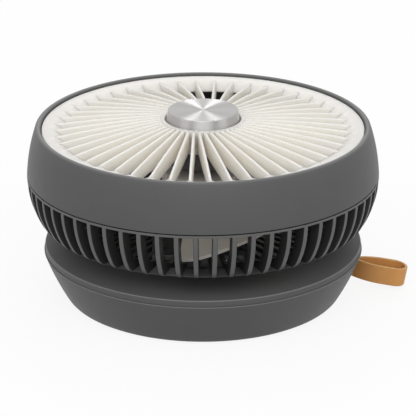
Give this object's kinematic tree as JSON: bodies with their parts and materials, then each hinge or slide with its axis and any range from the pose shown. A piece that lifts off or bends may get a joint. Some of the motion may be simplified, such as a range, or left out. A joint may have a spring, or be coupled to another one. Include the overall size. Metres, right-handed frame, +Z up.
{
  "type": "folding portable fan",
  "caption": "Rechargeable table fan folded flat: round slotted head with a vaned front grille and a metal push button, on a hinged arm between the head and a round base with a leather loop.",
  "frame": {"origin": "middle of the foot pad's underside, where the base stands", "axes": "+Z up out of the folded fan's front grille, +X towards the leather loop, -Y the side that the picture looks at"},
  "size_m": [0.2252, 0.206, 0.1121],
  "materials": {
    "grey_shell": "fine matt moulding texture",
    "cream_grille": "smooth satin moulding",
    "impeller_plastic": "satin moulding",
    "brushed_disc": "spun, fine circular brushing",
    "plated_steel": "bright zinc plate",
    "dark_steel": "black powder coat",
    "bronze": "plain sintered bronze",
    "pad_rubber": "matt rubber",
    "tan_leather": "smooth veg-tanned grain with raw cut edges",
    "board": "green circuit board",
    "cell_wrap": "shrink sleeve",
    "motor_core": "lacquered core",
    "lead": "matt insulation",
    "inner_plastic": "plain moulding"
  },
  "bodies": {
    "base": {"base_bowl": "grey_shell", "base_cover": "grey_shell", "base_screws": "plated_steel", "foot_pad": "pad_rubber", "battery_tray": "inner_plastic", "battery_cells": "cell_wrap", "charge_board": "board", "charge_socket": "plated_steel", "base_hinge_bracket": "dark_steel", "base_hinge_screws": "plated_steel", "base_hinge_pin": "plated_steel", "leather_loop": "tan_leather", "strap_clamp": "plated_steel"},
    "arm": {"arm_shell": "grey_shell", "arm_cover": "grey_shell", "arm_screws": "plated_steel", "arm_bushes": "bronze", "hinge_washers": "plated_steel", "arm_lead": "lead"},
    "head": {"head_hinge_bracket": "dark_steel", "head_hinge_screws": "dark_steel", "head_hinge_pin": "plated_steel", "rear_grille": "grey_shell", "head_housing": "grey_shell", "housing_screws": "dark_steel", "front_grille": "cream_grille", "hub_cover": "grey_shell", "hub_screws": "plated_steel", "button_board": "board", "button_switch": "inner_plastic", "switch_lead": "lead", "motor_stator": "motor_core", "motor_screws": "plated_steel", "motor_bearings": "plated_steel", "motor_lead": "lead"},
    "fan_rotor": {"motor_can": "plated_steel", "motor_magnets": "motor_core", "motor_shaft": "plated_steel", "impeller": "impeller_plastic", "impeller_nut": "plated_steel"},
    "button": {"power_button": "brushed_disc", "switch_plunger": "inner_plastic", "button_clip": "plated_steel"}
  },
  "joints": [
    {"name": "arm_fold", "type": "hinge", "parent": "base", "child": "arm", "pos_m": [0, 0.046, 0.0374], "axis": [-1, 0, 0], "range_deg": [0, 90]},
    {"name": "head_fold", "type": "hinge", "parent": "arm", "child": "head", "pos_m": [0, -0.046, 0.0374], "axis": [1, 0, 0], "range_deg": [0, 180]},
    {"name": "fan_spin", "type": "hinge", "parent": "head", "child": "fan_rotor", "pos_m": [0, 0, 0.0655], "axis": [0, 0, 1], "continuous": true},
    {"name": "button_press", "type": "slide", "parent": "head", "child": "button", "axis": [0, 0, -1], "range_m": [0, 0.0012], "stiffness_N_per_m": 800}
  ],
  "couplings": [
    {"joint": "head_fold", "follows": "arm_fold", "ratio": 2}
  ]
}
